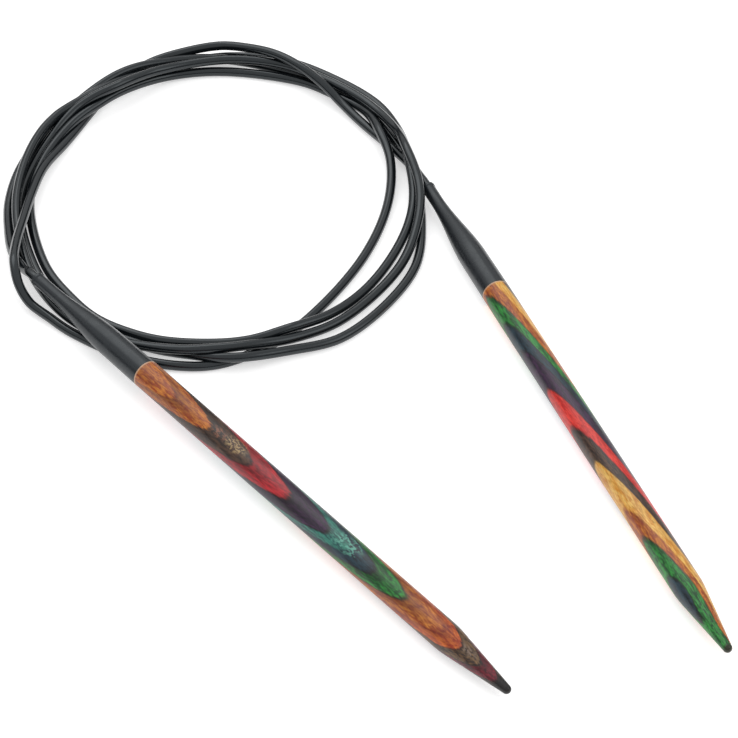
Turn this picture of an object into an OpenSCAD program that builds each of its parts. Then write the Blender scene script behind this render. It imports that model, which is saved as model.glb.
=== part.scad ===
// Circular knitting needle: two turned tips of dyed, laminated birch, each glued into a moulded
// sleeve, joined by one nylon cord that lies in a loose coil. Lengths in mm, angles in degrees.

/* [Needle] */
// Diameter of the shaft, which sets the size of the stitches
needle_d = 5.5; // [5:0.25:6.5]
// Length of the wood that shows, from the sleeve to the point
wood_l = 102.8; // [90:0.2:115]
// Length of the tapered point
point_l = 16; // [12:0.5:20]
// Diameter of the rounded end of the point
point_d = 1.7; // [1.4:0.1:2]
// Diameter of the tenon that is glued in the sleeve
tenon_d = 3.8; // [3.4:0.1:4]
// Length of the tenon
tenon_l = 8; // [6:0.5:9]

/* [Laminate] */
// Angle between the veneers and the axis of the needle
veneer_angle = 7.5; // [7:0.5:9]

/* [Sleeve] */
// Length of a sleeve, from the cord's mouth to the wood
sleeve_l = 34.7; // [33:0.1:36]
// Diameter of the neck behind the lip
neck_d = 2.6; // [2.5:0.05:3]
// Diameter of the small lip at the mouth
lip_d = 2.8; // [2.7:0.05:3.2]
// Diameter of the full part where the flare ends
flare_d = 5.35; // [5:0.05:5.5]

/* [Cord] */
// Diameter of the cord
cord_d = 1.9; // [1.7:0.05:2]
// Width of the coil across the surface
coil_w = 79.4; // [76:0.2:80]
// Depth of the coil across the surface
coil_depth = 94; // [90:1:96]
// Width of the bundle of turns
bundle_w = 11; // [9:0.5:13]
// Height of the bundle, with one turn in the grooves between others
bundle_h = 3.4; // [3.2:0.1:3.6]

/* [Layout] */
// Height of the left needle's mouth, which rests on the coil
left_mouth_z = 5.2; // [5:0.05:5.4]
// Direction in which the left needle points
left_heading = -50.6; // [-56:0.2:-48]
// Direction in which the right needle points
right_heading = -68.53; // [-72:0.01:-62]

/* [Hidden] */
$fn = 64;
shaft_r = needle_d / 2;
tenon_r = tenon_d / 2;
cord_r = cord_d / 2;

// Places of the two mouths, where the cord leaves the sleeves
left_mouth = [-62.57, 37.72, left_mouth_z];
right_mouth = [12.33, 68.79, shaft_r];

// The left needle rests on the coil and on its own shoulder; the right one lies flat
shoulder_to_mouth = sleeve_l + wood_l - point_l;
left_tilt = asin((left_mouth_z - shaft_r) / shoulder_to_mouth);
right_tilt = 0;

// Turn of the laminate about each needle's axis
left_grain = 27.6;
right_grain = -109;

// The cord flexes just outside each mouth
flex_out = 2;
// Gap that keeps the lead clear of the moving end
flex_gap = 0.05;

// Point of the needle: a cone that runs tangent into a rounded end, and eases out of the shaft
point_r = point_d / 2;
point_dx = point_l - point_r;
point_slope = atan(shaft_r / point_dx) - asin(point_r / norm([point_dx, shaft_r]));
shoulder_r = 24;
shoulder_run = shoulder_r * tan(point_slope / 2);
shoulder_steps = 4;
end_steps = 6;

// Laminate: each blank's veneers from its back, as the dye and the thickness of the sheet. The first
// and the last sheet run on past the wood, and the first ends at this distance from the wood's back.
GREEN = [0.16, 0.42, 0.20];
TEAL = [0.14, 0.30, 0.34];
PURPLE = [0.25, 0.16, 0.28];
RED = [0.68, 0.17, 0.19];
BROWN = [0.24, 0.15, 0.11];
AMBER = [0.87, 0.60, 0.26];
ORANGE = [0.68, 0.36, 0.15];
left_first = -1.4;
left_layers = [
    [ORANGE, 5],
    [ORANGE, 1.45],
    [BROWN, 1.55],
    [RED, 1.45],
    [PURPLE, 1.45],
    [TEAL, 1.7],
    [GREEN, 1.05],
    [ORANGE, 1.25],
    [ORANGE, 1.2],
    [BROWN, 1.2],
    [RED, 1.1],
    [PURPLE, 5]
];
right_first = -1.9;
right_layers = [
    [RED, 5],
    [BROWN, 1.5],
    [AMBER, 1.8],
    [ORANGE, 1.55],
    [GREEN, 1.15],
    [TEAL, 1.1],
    [PURPLE, 1.45],
    [RED, 1.5],
    [BROWN, 1.3],
    [AMBER, 1.75],
    [ORANGE, 1.05],
    [GREEN, 1.35],
    [TEAL, 5]
];
veneer_run = 400;
veneer_half_w = 4;

// Inside of a sleeve
glue_gap = 0.03;
socket_l = tenon_l + 0.2;
ferrule_d = 2.6;
ferrule_l = 6;
ferrule_gap = 0.05;
cord_gap = 0.03;
chamber_l = ferrule_l + socket_l + 0.6;

// Outside of a sleeve
lip_l = 0.8;
lip_ease = 0.3;
flare_start = 5;
flare_end = 24;
flare_steps = 16;

// Coil, and the step in it where the left sleeve lies across the turns
coil_centre = [-30, 66];
coil_r = coil_w / 2;
coil_half = coil_depth / 2 - coil_r;
step_x = -28;
step_y = 46;
step_h = cord_d;

// Leads: the stretches of cord between the coil and the flex points
lead_sides = 8;
lead_gap = cord_r + flex_gap;
right_lead_route = [[9.9, 75.6, 2.5], [8.8, 78.2, 2.2], [7.4, 81, 2]];
left_lead_route = [[-66.4, 43.2, 5], [-68, 46.6, 4.5], [-68.9, 50.4, 3.8], [-69, 54.4, 3.1], [-68.6, 58, 2.6]];

function spin(a) = [cos(a), sin(a), 0];
// Direction in which a needle points
function aim(heading, tilt) = cos(tilt) * spin(heading) - [0, 0, sin(tilt)];
// Smooth step from 0 to 1
function ease(t) = t * t * (3 - 2 * t);
// Points on an arc of radius r about [cx, cy]
function arc(cx, cy, r, from, to, steps) =
    [for (i = [0:steps]) let (a = from + (to - from) * i / steps) [cx + r * cos(a), cy + r * sin(a)]];

left_aim = aim(left_heading, left_tilt);
right_aim = aim(right_heading, right_tilt);
left_flex = left_mouth - flex_out * left_aim;
right_flex = right_mouth - flex_out * right_aim;

// Thickness of the layers after the first, up to layer k
function build_up(layers, k) = k <= 1 ? 0 : layers[k - 1][1] + build_up(layers, k - 1);

function veneer_name(side, k) = str(side, "_veneer_", k < 10 ? "0" : "", k);

// Moves a part that is drawn along +Z, with its mouth at the origin, to a needle's place
module along(mouth, heading, tilt) {
    translate(mouth) rotate([0, 90 + tilt, heading]) children();
}

module at_left() {
    along(left_mouth, left_heading, left_tilt) children();
}

module at_right() {
    along(right_mouth, right_heading, right_tilt) children();
}

// The whole turned tip with its tenon, before it is told apart into veneers
module turned_tip() {
    z_shoulder = wood_l - point_l;
    z_end = wood_l - point_r;
    translate([0, 0, sleeve_l])
        rotate_extrude()
            polygon(concat(
                [[0, -tenon_l], [tenon_r, -tenon_l], [tenon_r, 0], [shaft_r, 0]],
                arc(shaft_r - shoulder_r, z_shoulder - shoulder_run, shoulder_r, 0, point_slope, shoulder_steps),
                arc(0, z_end, point_r, point_slope, 90, end_steps)
            ));
}

// Layer number k of the slanted laminate
module veneer_slab(k, layers, first, grain) {
    thickness = layers[k - 1][1];
    low = first + build_up(layers, k) - thickness;
    translate([0, 0, sleeve_l])
        rotate([0, 0, grain])
            rotate([0, 90 - veneer_angle, 0])
                translate([-veneer_run / 2, -veneer_half_w, low])
                    cube([veneer_run, 2 * veneer_half_w, thickness]);
}

module veneer(k, layers, first, grain) {
    color(layers[k - 1][0])
        intersection() {
            turned_tip();
            veneer_slab(k, layers, first, grain);
        }
}

module left_veneer(k) {
    at_left() veneer(k, left_layers, left_first, left_grain);
}

module right_veneer(k) {
    at_right() veneer(k, right_layers, right_first, right_grain);
}

// Moulded sleeve: lip, neck and flare outside; cord bore, ferrule chamber and socket inside
module sleeve() {
    neck_r = neck_d / 2;
    lip_r = lip_d / 2;
    flare_r = flare_d / 2;
    bore_r = cord_r + cord_gap;
    chamber_r = ferrule_d / 2 + ferrule_gap;
    socket_r = tenon_r + glue_gap;
    color([0.17, 0.18, 0.19])
        rotate_extrude()
            polygon(concat(
                [[bore_r, 0], [lip_r - lip_ease, 0], [lip_r, lip_ease], [lip_r, lip_l], [neck_r, lip_l + lip_ease]],
                [for (i = [0:flare_steps])
                    let (t = i / flare_steps)
                    [neck_r + (flare_r - neck_r) * ease(t), flare_start + (flare_end - flare_start) * t]],
                [[shaft_r, sleeve_l], [socket_r, sleeve_l], [socket_r, sleeve_l - socket_l]],
                [[chamber_r, sleeve_l - socket_l], [chamber_r, sleeve_l - chamber_l]],
                [[bore_r, sleeve_l - chamber_l]]
            ));
}

module left_sleeve() {
    at_left() sleeve();
}

module right_sleeve() {
    at_right() sleeve();
}

// Ferrule crimped on the cord, pulled back against the shoulder of its chamber
module ferrule() {
    color([0.78, 0.68, 0.42])
        translate([0, 0, sleeve_l - chamber_l])
            difference() {
                cylinder(h = ferrule_l, d = ferrule_d);
                translate([0, 0, -1]) cylinder(h = ferrule_l + 2, r = cord_r);
            }
}

module left_ferrule() {
    at_left() ferrule();
}

module right_ferrule() {
    at_right() ferrule();
}

// End of the cord, held in the sleeve; it is round where it stands out, so that it can swing
module cord_end() {
    color([0.2, 0.21, 0.22])
        union() {
            translate([0, 0, -flex_out])
                cylinder(h = flex_out + sleeve_l - chamber_l + ferrule_l, r = cord_r);
            translate([0, 0, -flex_out]) sphere(r = cord_r);
        }
}

module left_cord_end() {
    at_left() cord_end();
}

module right_cord_end() {
    at_right() cord_end();
}

// Flat oval with straight sides and round ends
module oval(r, half) {
    union() {
        translate([0, half]) circle(r = r, $fn = 96);
        translate([0, -half]) circle(r = r, $fn = 96);
        square([2 * r, 2 * half], center = true);
    }
}

// Outer shape of the coiled cord, one turn high where the left sleeve lies across it
module cord_coil() {
    color([0.2, 0.21, 0.22])
        difference() {
            translate([coil_centre[0], coil_centre[1], 0])
                linear_extrude(height = bundle_h)
                    difference() {
                        oval(coil_r, coil_half);
                        oval(coil_r - bundle_w, coil_half);
                    }
            translate([step_x - coil_w, step_y - coil_depth, step_h]) cube([coil_w, coil_depth, bundle_h]);
        }
}

function unit(v) = v / norm(v);
// Direction of the route at point i
function heading_at(route, i) =
    i == 0 ? unit(route[1] - route[0])
    : i == len(route) - 1 ? unit(route[i] - route[i - 1])
    : unit(route[i + 1] - route[i - 1]);
// One ring of the cord about point i, square to the route
function ring(route, i) =
    let (
        ahead = heading_at(route, i),
        side = unit(cross(ahead, [0, 0, 1])),
        up = cross(side, ahead)
    )
    [for (k = [0:lead_sides - 1])
        let (a = 360 * k / lead_sides)
        route[i] + cord_r * (cos(a) * side + sin(a) * up)];

// Cord swept along a route
module cord_tube(route) {
    rings = len(route);
    points = [for (i = [0:rings - 1]) each ring(route, i)];
    sides = [
        for (i = [0:rings - 2])
            for (k = [0:lead_sides - 1])
                let (next = (k + 1) % lead_sides)
                [i * lead_sides + k, (i + 1) * lead_sides + k, (i + 1) * lead_sides + next, i * lead_sides + next]
    ];
    first_cap = [for (k = [0:lead_sides - 1]) k];
    last_cap = [for (k = [lead_sides - 1:-1:0]) (rings - 1) * lead_sides + k];
    color([0.2, 0.21, 0.22]) polyhedron(points, concat(sides, [first_cap], [last_cap]));
}

module left_cord_lead() {
    start = left_flex - lead_gap * left_aim;
    cord_tube(concat([start], left_lead_route));
}

module right_cord_lead() {
    start = right_flex - lead_gap * right_aim;
    cord_tube(concat([start], right_lead_route));
}

cord_coil();
left_cord_lead();
right_cord_lead();
left_cord_end();
right_cord_end();
left_ferrule();
right_ferrule();
left_sleeve();
right_sleeve();
for (k = [1:len(left_layers)])
    left_veneer(k);
for (k = [1:len(right_layers)])
    right_veneer(k);
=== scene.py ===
import math

import bpy
import numpy as np
from mathutils import Matrix, Vector


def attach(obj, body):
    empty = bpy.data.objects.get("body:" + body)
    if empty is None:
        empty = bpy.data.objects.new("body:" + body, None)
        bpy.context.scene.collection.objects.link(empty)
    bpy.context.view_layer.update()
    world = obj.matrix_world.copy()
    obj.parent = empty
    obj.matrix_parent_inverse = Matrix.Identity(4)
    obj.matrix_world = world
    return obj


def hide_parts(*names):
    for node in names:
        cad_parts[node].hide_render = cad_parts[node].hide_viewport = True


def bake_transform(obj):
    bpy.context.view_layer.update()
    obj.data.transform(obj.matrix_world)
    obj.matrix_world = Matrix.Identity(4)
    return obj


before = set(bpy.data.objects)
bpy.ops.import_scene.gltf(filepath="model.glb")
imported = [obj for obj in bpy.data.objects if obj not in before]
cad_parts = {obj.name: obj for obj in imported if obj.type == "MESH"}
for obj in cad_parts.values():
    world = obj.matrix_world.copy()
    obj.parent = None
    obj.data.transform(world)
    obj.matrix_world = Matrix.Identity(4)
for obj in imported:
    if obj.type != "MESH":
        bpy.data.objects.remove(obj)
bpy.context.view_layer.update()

MM = 0.001
CORD_D = 1.9 * MM
# Sizes of the two needles, as the CAD has them: lengths along the axis from the cord's mouth
SLEEVE_L = 34.7 * MM
FLEX_OUT = 2 * MM
CORD_INSIDE = 25.5 * MM
NECK_R = 1.4 * MM
FLARE_GROWS = 1.3 * MM
FLARE_START = 5 * MM
FLARE_L = 19 * MM
VENEER_ANGLE = 7.5


class Needle:
    """Where one needle lies, and how its laminate is turned."""

    def __init__(self, name, mouth, heading, tilt, grain):
        self.name = name
        self.mouth = Vector(mouth) * MM
        turn = Matrix.Rotation(math.radians(heading), 3, "Z")
        turn = turn @ Matrix.Rotation(math.radians(90 + tilt), 3, "Y")
        self.aim = turn @ Vector((0, 0, 1))
        self.side = turn @ Vector((0, 1, 0))
        self.up = self.aim.cross(self.side)
        if self.up.z < 0:
            self.up = -self.up
        lean = Matrix.Rotation(math.radians(grain), 3, "Z")
        lean = lean @ Matrix.Rotation(math.radians(90 - VENEER_ANGLE), 3, "Y")
        self.across = turn @ lean @ Vector((0, 0, 1))
        self.flex = self.mouth - self.aim * FLEX_OUT
        self.wood = self.mouth + self.aim * SLEEVE_L


LEFT = Needle("left", (-62.57, 37.72, 5.2), -50.6, 1.1554, 27.6)
RIGHT = Needle("right", (12.33, 68.79, 2.75), -68.53, 0, -109)


# ---------------------------------------------------------------- camera

camera_data = bpy.data.cameras.new("camera")
camera_data.lens = 182.2
camera_data.sensor_width = 36
camera = bpy.data.objects.new("camera", camera_data)
camera.location = (0.0008, -0.5090, 0.4615)
camera.rotation_euler = (math.radians(48.76), 0, 0)
bpy.context.scene.collection.objects.link(camera)
bpy.context.scene.camera = camera


# ---------------------------------------------------------------- cord

COIL_CENTRE = (-29, 66)
# Out of the right mouth and down to the surface; round the coil by angle, distance from its centre
# and height; and up to the left mouth. All in mm and degrees.
RIGHT_LEAD = [(10.2, 74.2, 2.2), (8.7, 77.6, 1.3), (7, 80.8, 0.95)]
TURNS = [
    # First turn, which crosses over the bundle, and then over the cord behind the left mouth
    (30, 38.4, 0.9), (44, 38.8, 0.85), (52, 40.0, 1.4), (60, 41.5, 2.9), (68, 43.0, 4.3),
    (76, 45.2, 4.5), (84, 47.3, 3.7), (91, 48.5, 3.0), (103, 46.6, 2.6), (112, 45.4, 1.7),
    (121, 43.2, 0.9), (135, 38.8, 0.85), (150, 36.5, 0.85), (165, 36.3, 1.7), (180, 36.4, 2.7),
    (195, 38.2, 3.8), (207, 41.3, 5.6), (214, 43.6, 6.5), (219, 44.9, 5.2), (224, 45.6, 2.8),
    (230, 45.6, 1.7), (237.3, 46.4, 1.0), (250, 48.0, 0.9), (262, 48.7, 0.85), (272, 47.9, 0.85),
    (286, 43.6, 0.85), (300, 38.7, 0.85), (330, 33.3, 0.85), (360, 33.6, 0.85), (380, 36.2, 1.8),
    # Second turn
    (393, 37.8, 2.7), (405, 40.6, 1.6), (417, 41.8, 0.85), (428, 42.8, 0.85), (450, 43.3, 0.85),
    (465, 42.6, 1.4), (479, 40.2, 2.6), (490, 38.8, 2.7), (503, 38.3, 1.6), (520, 37.7, 0.85),
    (540, 37.2, 0.85), (570, 38.4, 0.85), (585, 40.2, 0.85), (600, 42.8, 0.85), (615, 43.7, 0.85),
    (630, 43.4, 0.9), (640, 44.0, 1.8), (650, 43.5, 2.6), (662, 42.1, 1.6), (675, 40.3, 0.85),
    (690, 39.0, 0.85), (708, 38.8, 0.85), (722, 39.2, 1.2),
    # Third turn
    (737, 39.4, 3.0), (752, 41.8, 1.2), (765, 44.2, 0.85), (780, 45.8, 0.85), (795, 48.0, 0.85),
    (810, 48.3, 0.85), (826, 46.2, 1.6), (838, 43.8, 2.6), (850, 42.3, 2.6), (870, 41.0, 2.5),
    (900, 39.5, 2.3), (930, 42.0, 2.4), (948, 44.5, 2.1), (960, 45.6, 2.1), (975, 46.3, 2.2),
    (988, 47.2, 2.6), (1000, 46.0, 2.4), (1012, 44.7, 1.4), (1025, 43.5, 0.85), (1050, 41.4, 0.9),
    (1068, 40.5, 1.8), (1082, 40.1, 3.1),
    # Fourth turn, which lies on top on the right
    (1097, 39.1, 4.7), (1110, 40.3, 3.2), (1125, 41.5, 2.6), (1140, 42.6, 2.6), (1155, 44.2, 2.6),
    (1170, 44.2, 2.6), (1188, 42.0, 3.0), (1203, 39.3, 4.2), (1217, 40.6, 2.6), (1230, 39.9, 0.9),
    (1260, 38.9, 0.85), (1290, 40.2, 0.85), (1308, 42.4, 0.85), (1320, 43.9, 0.85),
    (1335, 45.2, 0.85), (1345, 46.4, 1.4), (1355, 48.8, 2.6), (1368, 47.6, 1.5), (1382, 47.6, 0.85),
    (1410, 44.1, 0.85), (1430, 41.4, 0.85),
    # Last part turn, beneath the others, as far as the left needle
    (1450, 40.6, 0.85), (1470, 40.7, 0.85), (1485, 42.3, 0.85), (1500, 44.2, 0.85),
    (1530, 46.4, 0.85), (1546, 45.6, 1.6), (1558, 44.2, 2.6), (1574, 42.4, 1.4), (1590, 41.0, 0.85),
    (1605, 40.6, 0.85), (1620, 40.6, 0.85), (1634, 41.0, 1.3),
]
LEFT_LEAD = [(-67.7, 49.9, 2.1), (-66.2, 44.6, 3.4), (-64.7, 40.8, 4.4)]
STEP = 2.5 * MM
# How far apart strands are pushed, and how far off the sleeves, in cord diameters
STRAND_GAP = 1.08
SLEEVE_GAP = 0.57
# Room in front of a sleeve's mouth
MOUTH_ROOM = 1 * MM
# Points that push each other are at least this many steps apart along the cord, and start within
# this many diameters of each other
STEPS_APART = 7
STARTS_WITHIN = 3.5
# How much more the upper of two strands is pushed upwards than straight away
LIFT = 0.6
# Points at each end of the cord, in the mouths, that the sleeves don't push
HELD = 4
# Angles through which a needle swings, at which no strand may lie in its sleeve
LEFT_SWINGS = (0, 2.5, 5, -5, -10, -15, -20, -25, -30, -35, -40)
RIGHT_SWINGS = (0, -2.5, -5)
# Length of the end piece at a mouth, on the cord's side of it
FLEX_L = 6 * MM


def turn_point(angle, radius, height):
    a = math.radians(angle)
    return (COIL_CENTRE[0] + radius * math.cos(a), COIL_CENTRE[1] + radius * math.sin(a), height)


def smooth_line(points, pieces):
    """A centripetal Catmull-Rom line through the points."""
    p = np.vstack([2 * points[0] - points[1], points, 2 * points[-1] - points[-2]])
    line = []
    for a, b, c, d in zip(p[:-3], p[1:-2], p[2:-1], p[3:]):
        t1 = np.linalg.norm(b - a) ** 0.5
        t2 = t1 + np.linalg.norm(c - b) ** 0.5
        t3 = t2 + np.linalg.norm(d - c) ** 0.5
        for t in np.linspace(t1, t2, pieces, endpoint=False):
            ab = a + (b - a) * t / t1
            bc = b + (c - b) * (t - t1) / (t2 - t1)
            cd = c + (d - c) * (t - t2) / (t3 - t2)
            abc = ab + (bc - ab) * t / t2
            bcd = bc + (cd - bc) * (t - t1) / (t3 - t1)
            line.append(abc + (bcd - abc) * (t - t1) / (t2 - t1))
    line.append(points[-1])
    return np.array(line)


def lengths_along(line):
    return np.concatenate([[0], np.cumsum(np.linalg.norm(np.diff(line, axis=0), axis=1))])


def spaced(line, step):
    """The same line with its points a fixed step apart."""
    run = lengths_along(line)
    at = np.linspace(0, run[-1], int(round(run[-1] / step)) + 1)
    return np.stack([np.interp(at, run, line[:, k]) for k in range(3)], axis=1)


def sleeve_radius(distance):
    """The radius of a sleeve at distances from its mouth."""
    t = np.clip((distance - FLARE_START) / FLARE_L, 0, 1)
    flare = NECK_R + FLARE_GROWS * t * t * (3 - 2 * t)
    return np.where((distance > -MOUTH_ROOM) & (distance < SLEEVE_L), flare, 0)


def clear_of_sleeve(points, needle, swing, radius):
    """How to move points so that a cord through them clears a sleeve, swung by an angle."""
    c, s = math.cos(math.radians(swing)), math.sin(math.radians(swing))
    x, y, z = needle.aim
    aim = np.array([c * x - s * y, s * x + c * y, z])
    offset = points - np.array(needle.flex) - aim * FLEX_OUT
    distance = offset @ aim
    out = offset - distance[:, None] * aim
    size = np.linalg.norm(out, axis=1)
    reach = np.where(sleeve_radius(distance) > 0, sleeve_radius(distance) + radius, 0)
    return out * np.maximum(reach / np.maximum(size, radius / 2) - 1, 0)[:, None]


def settle(line, diameter, steps=1500, stiffness=0.08):
    """Lets turns push each other apart, and off the sleeves, while the cord stays smooth."""
    clear = STRAND_GAP * diameter
    count = len(line)
    a, b = np.triu_indices(count, STEPS_APART)
    near = np.linalg.norm(line[a] - line[b], axis=1) < STARTS_WITHIN * diameter
    a, b = a[near], b[near]
    lift = np.sign(line[a, 2] - line[b, 2])[:, None] * np.array([0, 0, LIFT])
    move = np.zeros_like(line)
    for _ in range(steps):
        gap = line[a] + move[a] - line[b] - move[b]
        size = np.linalg.norm(gap, axis=1)[:, None]
        away = gap / size + lift
        away /= np.linalg.norm(away, axis=1)[:, None]
        push = away * np.clip(clear - size, 0, None) / 2
        touching = (size < clear).astype(float)
        total = np.zeros_like(line)
        hits = np.zeros((count, 1))
        np.add.at(total, a, push)
        np.add.at(total, b, -push)
        np.add.at(hits, a, touching)
        np.add.at(hits, b, touching)
        move += total / np.maximum(hits, 1)
        for needle, swings in ((LEFT, LEFT_SWINGS), (RIGHT, RIGHT_SWINGS)):
            for swing in swings:
                now = (line + move)[HELD:-HELD]
                move[HELD:-HELD] += clear_of_sleeve(now, needle, swing, diameter * SLEEVE_GAP)
        move[1:-1] += stiffness * ((move[:-2] + move[2:]) / 2 - move[1:-1])
        move[:2] = 0
        move[-2:] = 0
        move[:, 2] = np.maximum(move[:, 2], diameter / 2 - line[:, 2])
    return line + move


def cord_route():
    """The middle line of the cord from the right needle to the left one."""
    coil = [turn_point(*t) for t in TURNS]
    points = np.array([*RIGHT_LEAD, *coil, *LEFT_LEAD]) * MM
    points = np.vstack([RIGHT.flex, points, LEFT.flex])
    return smooth_line(settle(spaced(smooth_line(points, 10), STEP), CORD_D), 4)


def part_of(line, start, end):
    """The stretch of a line between two lengths along it."""
    run = lengths_along(line)
    at = [start, *[r for r in run if start < r < end], end]
    return np.stack([np.interp(at, run, line[:, k]) for k in range(3)], axis=1)


def add_piece(name, mesh, material, smooth=True):
    piece = bpy.data.objects.new(name, mesh)
    bpy.context.scene.collection.objects.link(piece)
    mesh.materials.append(material)
    if smooth:
        mesh.polygons.foreach_set("use_smooth", [True] * len(mesh.polygons))
    return piece


def tube_mesh(name, line, radius, sides=24):
    """A closed tube along a line, with a rounded end at each side."""
    verts, faces = [], []
    tangents = np.gradient(line, axis=0)
    tangents /= np.linalg.norm(tangents, axis=1)[:, None]
    side = np.cross(tangents, (0, 0, 1))
    side /= np.linalg.norm(side, axis=1)[:, None]
    up = np.cross(side, tangents)
    rings = [(line[0], side[0], up[0], radius * 0.8)]
    rings += [(p, s, u, radius) for p, s, u in zip(line, side, up)]
    rings += [(line[-1], side[-1], up[-1], radius * 0.8)]
    for centre, s, u, r in rings:
        for k in range(sides):
            a = 2 * math.pi * k / sides
            verts.append(centre + r * (math.cos(a) * s + math.sin(a) * u))
    for i in range(len(rings) - 1):
        for k in range(sides):
            n = (k + 1) % sides
            faces.append((i * sides + k, i * sides + n, (i + 1) * sides + n, (i + 1) * sides + k))
    faces.append(tuple(range(sides))[::-1])
    faces.append(tuple((len(rings) - 1) * sides + k for k in range(sides)))
    mesh = bpy.data.meshes.new(name)
    mesh.from_pydata([tuple(v) for v in verts], [], faces)
    mesh.update()
    return mesh


# ---------------------------------------------------------------- materials


class Shader:
    """A node material, with short calls for the nodes that this object needs."""

    def __init__(self, name, roughness, specular=0.5):
        self.material = bpy.data.materials.new(name)
        self.material.use_nodes = True
        self.tree = self.material.node_tree
        self.out = self.tree.nodes["Principled BSDF"]
        self.out.inputs["Roughness"].default_value = roughness
        self.out.inputs["Specular IOR Level"].default_value = specular
        self.place = self.node("ShaderNodeTexCoord").outputs["Object"]

    def node(self, kind, **settings):
        made = self.tree.nodes.new(kind)
        for name, value in settings.items():
            setattr(made, name, value)
        return made

    def join(self, value, socket):
        """Links an output to a socket, or sets the socket to a plain value."""
        if isinstance(value, bpy.types.NodeSocket):
            self.tree.links.new(value, socket)
        else:
            socket.default_value = value

    def math(self, operation, *values, clamp=False):
        made = self.node("ShaderNodeMath", operation=operation, use_clamp=clamp)
        for value, socket in zip(values, made.inputs):
            self.join(value, socket)
        return made.outputs[0]

    def sway(self, noise, amount):
        """Noise as a distance to either side of nothing."""
        return self.math("MULTIPLY", self.math("SUBTRACT", noise, 0.5), amount)

    def apart(self, value, place):
        """How far a value is from a place, to either side."""
        return self.math("ABSOLUTE", self.math("SUBTRACT", value, place))

    def vector(self, operation, a, b):
        made = self.node("ShaderNodeVectorMath", operation=operation)
        self.join(a, made.inputs[0])
        self.join(b, made.inputs[1])
        return made.outputs["Value" if operation in ("DOT_PRODUCT", "DISTANCE") else "Vector"]

    def measure(self, origin, direction, unit=MM):
        """How far the surface is from a point, in a direction, in units."""
        apart = self.vector("SUBTRACT", self.place, tuple(origin))
        return self.vector("DOT_PRODUCT", apart, tuple(Vector(direction) / unit))

    def combine(self, x, y, z):
        made = self.node("ShaderNodeCombineXYZ")
        for value, socket in zip((x, y, z), made.inputs):
            self.join(value, socket)
        return made.outputs[0]

    def noise(self, place, scale, detail=3.0, roughness=0.5, distortion=0.0):
        made = self.node("ShaderNodeTexNoise")
        self.join(place, made.inputs["Vector"])
        made.inputs["Scale"].default_value = scale
        made.inputs["Detail"].default_value = detail
        made.inputs["Roughness"].default_value = roughness
        made.inputs["Distortion"].default_value = distortion
        return made.outputs["Fac"]

    def spread(self, value, low, high, to_low=0.0, to_high=1.0):
        made = self.node("ShaderNodeMapRange", interpolation_type="SMOOTHSTEP")
        self.join(value, made.inputs["Value"])
        limits = {"From Min": low, "From Max": high, "To Min": to_low, "To Max": to_high}
        for name, number in limits.items():
            made.inputs[name].default_value = number
        return made.outputs["Result"]

    def ramp(self, value, stops):
        made = self.node("ShaderNodeValToRGB")
        elements = made.color_ramp.elements
        while len(elements) < len(stops):
            elements.new(1)
        for element, (place, colour) in zip(elements, stops):
            element.position = place
            element.color = (*colour, 1)
        self.join(value, made.inputs["Fac"])
        return made.outputs["Color"]

    def mix(self, factor, a, b, blend="MIX"):
        made = self.node("ShaderNodeMix", data_type="RGBA", blend_type=blend)
        sockets = [s for s in made.inputs if s.enabled]
        self.join(factor, sockets[0])
        for value, socket in ((a, sockets[1]), (b, sockets[2])):
            self.join(value if isinstance(value, bpy.types.NodeSocket) else (*value, 1), socket)
        return next(s for s in made.outputs if s.enabled)

    def finish(self, colour, roughness=None, height=None, depth=0.0):
        self.join(colour, self.out.inputs["Base Color"])
        if roughness is not None:
            self.join(roughness, self.out.inputs["Roughness"])
        if height is not None:
            bump = self.node("ShaderNodeBump")
            bump.inputs["Strength"].default_value = 1
            bump.inputs["Distance"].default_value = depth
            self.join(height, bump.inputs["Height"])
            self.join(bump.outputs["Normal"], self.out.inputs["Normal"])
        return self.material


def hex_colour(code):
    """A screen colour as the linear one that shaders use."""
    parts = [int(code[k:k + 2], 16) / 255 for k in (0, 2, 4)]
    return tuple(c / 12.92 if c <= 0.04045 else ((c + 0.055) / 1.055) ** 2.4 for c in parts)


# Black plastic shines with a cool cast
COOL = (0.9, 0.97, 1.0, 1)


def cord_material():
    """Drawn nylon: glossy black with faint smears along it."""
    shader = Shader("cord_nylon", 0.2, specular=0.54)
    shader.out.inputs["Specular Tint"].default_value = COOL
    smear = shader.noise(shader.place, 120, 4, 0.6, 0.4)
    haze = shader.noise(shader.place, 40, 2)
    colour = shader.mix(haze, (0.0035, 0.005, 0.0068), (0.0065, 0.0085, 0.0105))
    rough = shader.spread(smear, 0.3, 0.7, 0.09, 0.24)
    return shader.finish(colour, rough)


def sleeve_material():
    """Moulded plastic: satin, with a fine even skin."""
    shader = Shader("sleeve_plastic", 0.3, specular=0.42)
    shader.out.inputs["Specular Tint"].default_value = COOL
    skin = shader.noise(shader.place, 2400, 3, 0.6)
    haze = shader.noise(shader.place, 90, 3)
    rubbed = shader.noise(shader.place, 380, 5, 0.7, 1.0)
    colour = shader.mix(haze, (0.0125, 0.0145, 0.0175), (0.0165, 0.019, 0.0225))
    rough = shader.spread(rubbed, 0.35, 0.75, 0.26, 0.38)
    return shader.finish(colour, rough, skin, 0.002 * MM)


def ferrule_material():
    """Brass, with faint turning marks."""
    shader = Shader("ferrule_brass", 0.3)
    shader.out.inputs["Metallic"].default_value = 1
    marks = shader.noise(shader.place, 3000, 2)
    colour = shader.mix(marks, hex_colour("b08d4a"), hex_colour("d3b06a"))
    return shader.finish(colour, shader.spread(marks, 0.3, 0.7, 0.25, 0.4), marks, 0.003 * MM)


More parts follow.
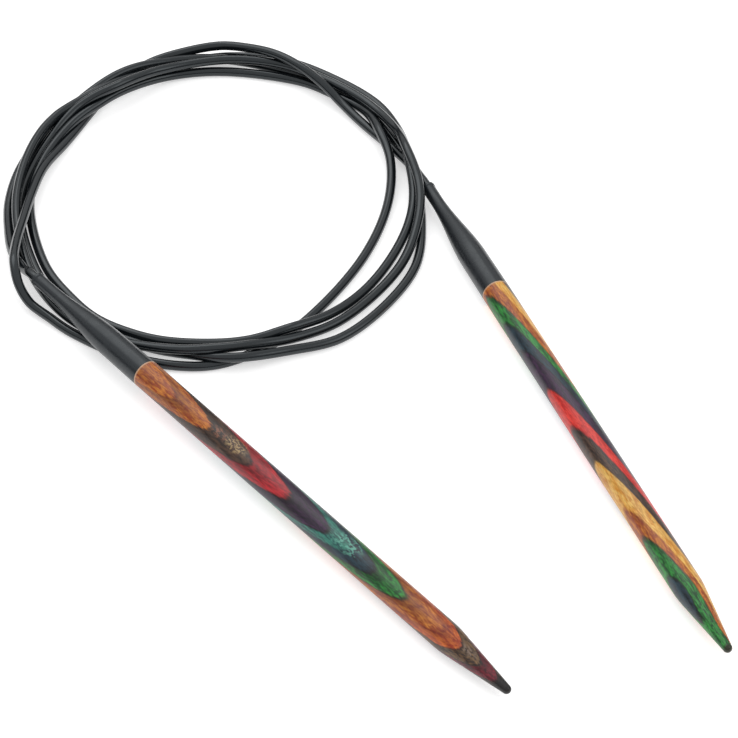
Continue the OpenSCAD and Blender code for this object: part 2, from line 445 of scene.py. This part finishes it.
# Dyed birch: the colour of the sheet, and the colour of the streaks in it
DYES = {
    "orange": ("97401a", "d07f2e"),
    "rust": ("a03616", "d9702c"),
    "brown": ("2e1f19", "5e4434"),
    "tan": ("3a2a22", "8a6a48"),
    "red": ("8a1620", "cc2c34"),
    "scarlet": ("c8231f", "ee4236"),
    "purple": ("22182a", "45284a"),
    "teal": ("1a4648", "3f8676"),
    "navy": ("18242e", "26404c"),
    "green": ("0f4a20", "35983f"),
    "amber": ("d8902c", "f2c468"),
    "maroon": ("4a1420", "8a2434"),
}
# The layers of each blank from its back: dye, and where the layer ends, in mm across the layers
LEFT_LAYERS = [
    ("orange", -1.4), ("orange", 0.05), ("brown", 1.6), ("red", 3.05), ("purple", 4.5),
    ("teal", 5.25), ("navy", 6.2), ("green", 7.25), ("orange", 8.5), ("rust", 9.7),
    ("tan", 10.9), ("maroon", 12.0), ("brown", 17),
]
RIGHT_LAYERS = [
    ("scarlet", -1.9), ("brown", -0.4), ("amber", 1.4), ("orange", 2.95), ("green", 4.1),
    ("navy", 5.2), ("purple", 6.65), ("scarlet", 8.15), ("brown", 9.45), ("amber", 11.2),
    ("orange", 12.25), ("green", 13.6), ("navy", 18.6),
]
RAMP_FROM, RAMP_TO = -4, 19
# Dyes that blend into each other without a dark line, and dyes that don't darken where they start
BLENDED = {"orange", "rust", "amber", "navy", "teal"}
UNSHADED = {"teal", "navy"}
# Half the width of the blur between two dyes, and of the dark glue line with its fading, in mm
BLUR = 0.05
GLUE = 0.132


def layer_ramp(shader, across, layers, pick, start_shade):
    """The colours of the layers in turn, as one ramp over the distance across them."""
    scale = RAMP_TO - RAMP_FROM
    stops = []
    for k, (dye, end) in enumerate(layers):
        colour = hex_colour(DYES[dye][pick])
        start = RAMP_FROM if k == 0 else layers[k - 1][1] + BLUR
        last = end - BLUR if k < len(layers) - 1 else RAMP_TO
        shade = 1 if dye in UNSHADED else start_shade
        first = tuple(c * shade for c in colour)
        stops += [((start - RAMP_FROM) / scale, first), ((last - RAMP_FROM) / scale, colour)]
    place = shader.math("DIVIDE", shader.math("SUBTRACT", across, RAMP_FROM), scale)
    return shader.ramp(place, stops)


def wood_material(needle, layers, bends, marks, tip_dark, start_shade):
    """Laminated birch under varnish: dyed sheets cut at a slant, with glue lines and grain."""
    shader = Shader(needle.name + "_wood", 0.35, specular=0.45)
    along = shader.measure(needle.wood, needle.aim)
    side = shader.measure(needle.wood, needle.side)
    up = shader.measure(needle.wood, needle.up)
    across = shader.measure(needle.wood, needle.across)
    # Grain runs along the needle: one place squeezed along the axis for wide streaks, one for fine
    wide = shader.combine(shader.math("MULTIPLY", along, 0.16), side, up)
    fine = shader.combine(shader.math("MULTIPLY", along, 0.3), shader.math("MULTIPLY", side, 4),
                          shader.math("MULTIPLY", up, 4))
    wander = shader.noise(wide, 0.8, 4, 0.65)
    feather = shader.noise(fine, 0.9, 3, 0.6)
    edge = shader.math("ADD", across, shader.sway(wander, 0.3))
    edge = shader.math("ADD", edge, shader.sway(feather, 0.3))
    # The sheets aren't quite flat: the layers dip by an amount over a stretch of the needle
    for distance, reach, dip in bends:
        bump = shader.spread(shader.apart(along, distance), 0, reach, dip, 0)
        edge = shader.math("SUBTRACT", edge, bump)
    base = layer_ramp(shader, edge, layers, 0, start_shade)
    streak = layer_ramp(shader, edge, layers, 1, start_shade)
    # Growth rings cut at a slant show as long contours, broken by the fibres
    fibre = shader.noise(fine, 1.9, 4, 0.7)
    rings = shader.math("MULTIPLY", edge, 21)
    rings = shader.math("ADD", rings, shader.math("MULTIPLY", wander, 16))
    rings = shader.math("SINE", rings)
    patch = shader.noise(wide, 1.9, 6, 0.7, 0.6)
    share = shader.math("ADD", shader.spread(patch, 0.4, 0.62), shader.math("MULTIPLY", rings, 0.2))
    share = shader.math("ADD", share, shader.sway(fibre, 1.5), clamp=True)
    colour = shader.mix(share, base, streak)
    # Fine pores and darker blotches
    pores = shader.spread(shader.noise(fine, 3.2, 3, 0.6), 0.5, 0.66)
    blotch = shader.spread(shader.noise(wide, 0.9, 4, 0.6, 0.4), 0.44, 0.68)
    colour = shader.mix(shader.math("MULTIPLY", pores, 0.4), colour, hex_colour("1a100c"))
    blotch = shader.math("MULTIPLY", blotch, 0.5)
    colour = shader.mix(blotch, colour, (0.55, 0.38, 0.35), "MULTIPLY")
    glue = None
    for (dye, end), (next_dye, _) in zip(layers[:-1], layers[1:]):
        if {dye, next_dye} <= BLENDED:
            continue
        line = shader.spread(shader.apart(edge, end), 0, GLUE, 1, 0)
        glue = line if glue is None else shader.math("ADD", glue, line, clamp=True)
    glue = shader.math("MULTIPLY", glue, shader.spread(feather, 0.3, 0.6, 0.35, 0.9))
    colour = shader.mix(glue, colour, hex_colour("17100f"))
    for distance, turn, tone, size, pitch, jitter in marks:
        streaks = figure(shader, (along, side, up), edge, distance, turn, size, pitch, jitter)
        colour = shader.mix(streaks, colour, hex_colour(tone))
    start, full, stain = tip_dark
    dark = shader.spread(shader.math("ADD", along, shader.math("MULTIPLY", wander, 2)), start, full)
    colour = shader.mix(shader.math("MULTIPLY", dark, 0.92), colour, hex_colour(stain))
    # A pale band round the wood where the sleeve ends, fading out within half a millimetre
    sleeve_end_band = shader.spread(along, 0.1, 0.45, 0.75, 0)
    colour = shader.mix(sleeve_end_band, colour, hex_colour("c9a98c"))
    rough = shader.spread(patch, 0.3, 0.7, 0.28, 0.42)
    height = shader.math("SUBTRACT", shader.math("MULTIPLY", pores, -1), glue)
    return shader.finish(colour, rough, height, 0.004 * MM)


def figure(shader, place, edge, distance, turn, size, pitch, jitter):
    """A patch of pale streaks in the grain, which follow the layers' edges and wander from them."""
    along, side, up = place
    radius = 2.6
    a = math.radians(turn)
    far = shader.combine(
        shader.math("MULTIPLY", shader.math("SUBTRACT", along, distance), 0.36 / size),
        shader.math("MULTIPLY", shader.math("SUBTRACT", side, radius * math.cos(a)), 0.8 / size),
        shader.math("MULTIPLY", shader.math("SUBTRACT", up, radius * math.sin(a)), 0.8 / size),
    )
    swirl = shader.noise(far, 2.6, 4, 0.6, 0.6)
    reach = shader.vector("DISTANCE", far, (0, 0, 0))
    reach = shader.math("ADD", reach, shader.sway(swirl, 0.8))
    wave = shader.math("MULTIPLY", edge, 2 * math.pi / pitch)
    wave = shader.math("SINE", shader.math("ADD", wave, shader.math("MULTIPLY", swirl, jitter)))
    patch = shader.spread(reach, 0.45, 1.15, 0.9, 0)
    return shader.math("MULTIPLY", patch, shader.spread(wave, -0.2, 0.8))


CORD_LOOK = cord_material()
SLEEVE_LOOK = sleeve_material()
FERRULE_LOOK = ferrule_material()
# Figures in the left needle's grain: distance along the wood, turn about it from the side
# towards the top, colour, size, distance between streaks and how far they wander
LEFT_MARKS = [
    (28.0, 100, "a88c60", 1.25, 0.3, 22),
    (23.5, 105, "80503a", 0.9, 0.3, 16),
    (60, 105, "5fa592", 1.5, 0.5, 20),
    (92.8, 105, "7e6a5c", 0.9, 0.35, 14),
]
# Where the right needle's sheets dip: distance along the wood, reach and depth
RIGHT_BENDS = [(99, 11, 0.75)]
# Where a tip starts to darken, where it is dark, and the stain
LEFT_TIP = (100, 101.6, "0c0a0a")
RIGHT_TIP = (102.4, 103.6, "24160f")
LEFT_LOOK = wood_material(LEFT, LEFT_LAYERS, [], LEFT_MARKS, LEFT_TIP, 0.5)
RIGHT_LOOK = wood_material(RIGHT, RIGHT_LAYERS, RIGHT_BENDS, [], RIGHT_TIP, 0.85)


# ---------------------------------------------------------------- the cord's pieces

route = cord_route()
route_l = lengths_along(route)[-1]


def flex_piece(needle, line):
    """The cord's end in the sleeve, and the short stretch of cord just outside the mouth, as one
    tube.
    """
    inside = [needle.mouth + needle.aim * CORD_INSIDE * k / 6 for k in range(6, -1, -1)]
    path = np.vstack([inside, line])
    name = needle.name + "_cord_flex"
    piece = add_piece(name, tube_mesh(name, path, CORD_D / 2), CORD_LOOK)
    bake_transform(piece)
    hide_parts(needle.name + "_cord_end")
    return piece


def cord_curve(line):
    """The cord from one end piece to the other, as a round curve."""
    data = bpy.data.curves.new("cord_line", "CURVE")
    data.dimensions = "3D"
    data.bevel_depth = CORD_D / 2
    data.bevel_resolution = 7
    data.use_fill_caps = True
    spline = data.splines.new("POLY")
    spline.points.add(len(line) - 1)
    for point, place in zip(spline.points, line):
        point.co = (*place, 1)
    data.materials.append(CORD_LOOK)
    cord = bpy.data.objects.new("coiled_cord", data)
    bpy.context.scene.collection.objects.link(cord)
    return cord


right_flex = flex_piece(RIGHT, part_of(route, 0, FLEX_L))
left_flex = flex_piece(LEFT, part_of(route, route_l - FLEX_L, route_l)[::-1])
cord = cord_curve(part_of(route, FLEX_L, route_l - FLEX_L))
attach(cord, "cord")
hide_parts("cord_coil", "left_cord_lead", "right_cord_lead")


# ---------------------------------------------------------------- the CAD's own pieces

for name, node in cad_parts.items():
    look = CORD_LOOK
    if "veneer" in name:
        look = LEFT_LOOK if name.startswith("left") else RIGHT_LOOK
    elif "sleeve" in name:
        look = SLEEVE_LOOK
    elif "ferrule" in name:
        look = FERRULE_LOOK
    node.data.materials.clear()
    node.data.materials.append(look)


# ---------------------------------------------------------------- stage

def floor_material():
    shader = Shader("floor", 1.0, specular=0.0)
    grain = shader.noise(shader.place, 6, 2)
    shader.out.inputs["Emission Color"].default_value = (1, 1, 1, 1)
    shader.out.inputs["Emission Strength"].default_value = 0.5
    return shader.finish(shader.mix(grain, (0.82, 0.82, 0.82), (0.85, 0.85, 0.85)))


FLOOR_HALF = 3
floor_corners = [(-FLOOR_HALF, -FLOOR_HALF, 0), (FLOOR_HALF, -FLOOR_HALF, 0),
                 (FLOOR_HALF, FLOOR_HALF, 0), (-FLOOR_HALF, FLOOR_HALF, 0)]
floor_mesh = bpy.data.meshes.new("floor")
floor_mesh.from_pydata(floor_corners, [], [(0, 1, 2, 3)])
floor = add_piece("floor", floor_mesh, floor_material(), smooth=False)


def soft_light(name, place, size, power):
    data = bpy.data.lights.new(name, "AREA")
    data.shape = "RECTANGLE"
    data.size, data.size_y = size
    data.energy = power
    light = bpy.data.objects.new(name, data)
    light.location = place
    light.rotation_euler = (Vector((0, 0, 0)) - Vector(place)).to_track_quat("-Z", "Y").to_euler()
    bpy.context.scene.collection.objects.link(light)


soft_light("key", (-0.5, 0.9, 1.3), (1.4, 0.9), 6)
soft_light("fill", (1.2, -0.3, 1.1), (1.0, 0.8), 3)


# Height in the world, from the nadir to the zenith, and the grey there
WORLD_GREYS = ((0.0, 0.05), (0.2, 0.06), (0.34, 0.8), (1.0, 0.95))


def studio_world():
    """White all over above, with a darker band low down, as round a tabletop tent."""
    world = bpy.data.worlds.new("studio")
    world.use_nodes = True
    tree = world.node_tree
    way = tree.nodes.new("ShaderNodeTexCoord")
    parts = tree.nodes.new("ShaderNodeSeparateXYZ")
    ramp = tree.nodes.new("ShaderNodeValToRGB")
    elements = ramp.color_ramp.elements
    while len(elements) < len(WORLD_GREYS):
        elements.new(1)
    for element, (place, grey) in zip(elements, WORLD_GREYS):
        element.position = place
        element.color = (grey, grey, grey, 1)
    tree.links.new(way.outputs["Generated"], parts.inputs[0])
    tree.links.new(parts.outputs["Z"], ramp.inputs["Fac"])
    tree.links.new(ramp.outputs["Color"], tree.nodes["Background"].inputs["Color"])
    tree.nodes["Background"].inputs["Strength"].default_value = 1
    bpy.context.scene.world = world


studio_world()
bpy.context.scene.view_settings.view_transform = "Standard"
